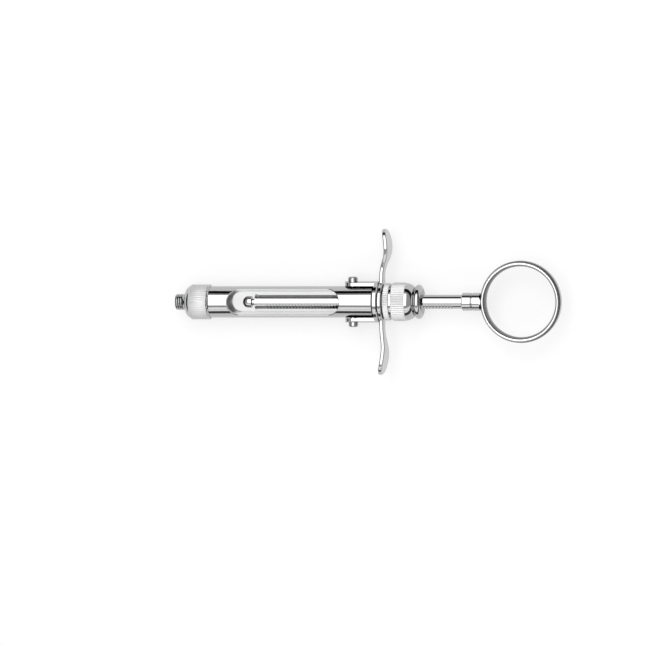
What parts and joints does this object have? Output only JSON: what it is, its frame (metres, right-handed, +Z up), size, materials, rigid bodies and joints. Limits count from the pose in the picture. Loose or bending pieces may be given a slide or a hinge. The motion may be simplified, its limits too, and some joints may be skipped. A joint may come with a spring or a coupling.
{
  "type": "dental aspirating syringe",
  "caption": "Metal dental aspirating syringe with a windowed barrel, bowed finger grip, hinged breech, sprung lock sleeve, toothed piston rod and thumb ring.",
  "frame": {"origin": "on the barrel's axis where the needle hub seats, at the root of the threaded stub", "axes": "+X along the barrel from the needle to the thumb ring, +Y along the finger wings and the hinge axis, +Z up, through the wide window"},
  "size_m": [0.1415, 0.0526, 0.015],
  "materials": {
    "polished_steel": "polished stainless steel",
    "knurled_steel": "fine knurling, satin",
    "screw_steel": "polished screw steel",
    "spring_steel": "drawn wire",
    "bush_brass": "turned",
    "seal_rubber": "soft black"
  },
  "bodies": {
    "barrel": {"barrel": "polished_steel", "yoke": "polished_steel", "left_hinge_screw": "screw_steel", "right_hinge_screw": "screw_steel", "grip_lock_ring": "knurled_steel", "spring_housing": "knurled_steel", "guide_bush": "bush_brass", "return_spring": "spring_steel"},
    "needle_adapter": {"needle_adapter": "knurled_steel"},
    "finger_grip": {"finger_grip": "polished_steel"},
    "thrust_washer": {"thrust_washer": "spring_steel"},
    "lock_sleeve": {"lock_sleeve": "polished_steel", "pull_knob": "polished_steel", "rod_seal": "seal_rubber"},
    "piston": {"piston_rod": "polished_steel", "harpoon": "polished_steel", "ring_nut": "polished_steel", "thumb_ring": "polished_steel"}
  },
  "joints": [
    {"name": "adapter_removal", "type": "slide", "parent": "barrel", "child": "needle_adapter", "axis": [-1, 0, 0], "range_m": [0, 0.008]},
    {"name": "grip_turn", "type": "hinge", "parent": "barrel", "child": "finger_grip", "pos_m": [0.07225, 0, 0], "axis": [1, 0, 0], "continuous": true},
    {"name": "sleeve_pull", "type": "slide", "parent": "barrel", "child": "thrust_washer", "axis": [1, 0, 0], "range_m": [0, 0.0027], "stiffness_N_per_m": 900, "springref_m": -0.002, "deforming": ["return_spring"]},
    {"name": "sleeve_turn", "type": "hinge", "parent": "thrust_washer", "child": "lock_sleeve", "pos_m": [0.06755, 0, 0], "axis": [1, 0, 0], "continuous": true},
    {"name": "piston_stroke", "type": "slide", "parent": "lock_sleeve", "child": "piston", "axis": [1, 0, 0], "range_m": [-0.0145, 0.04655]}
  ]
}
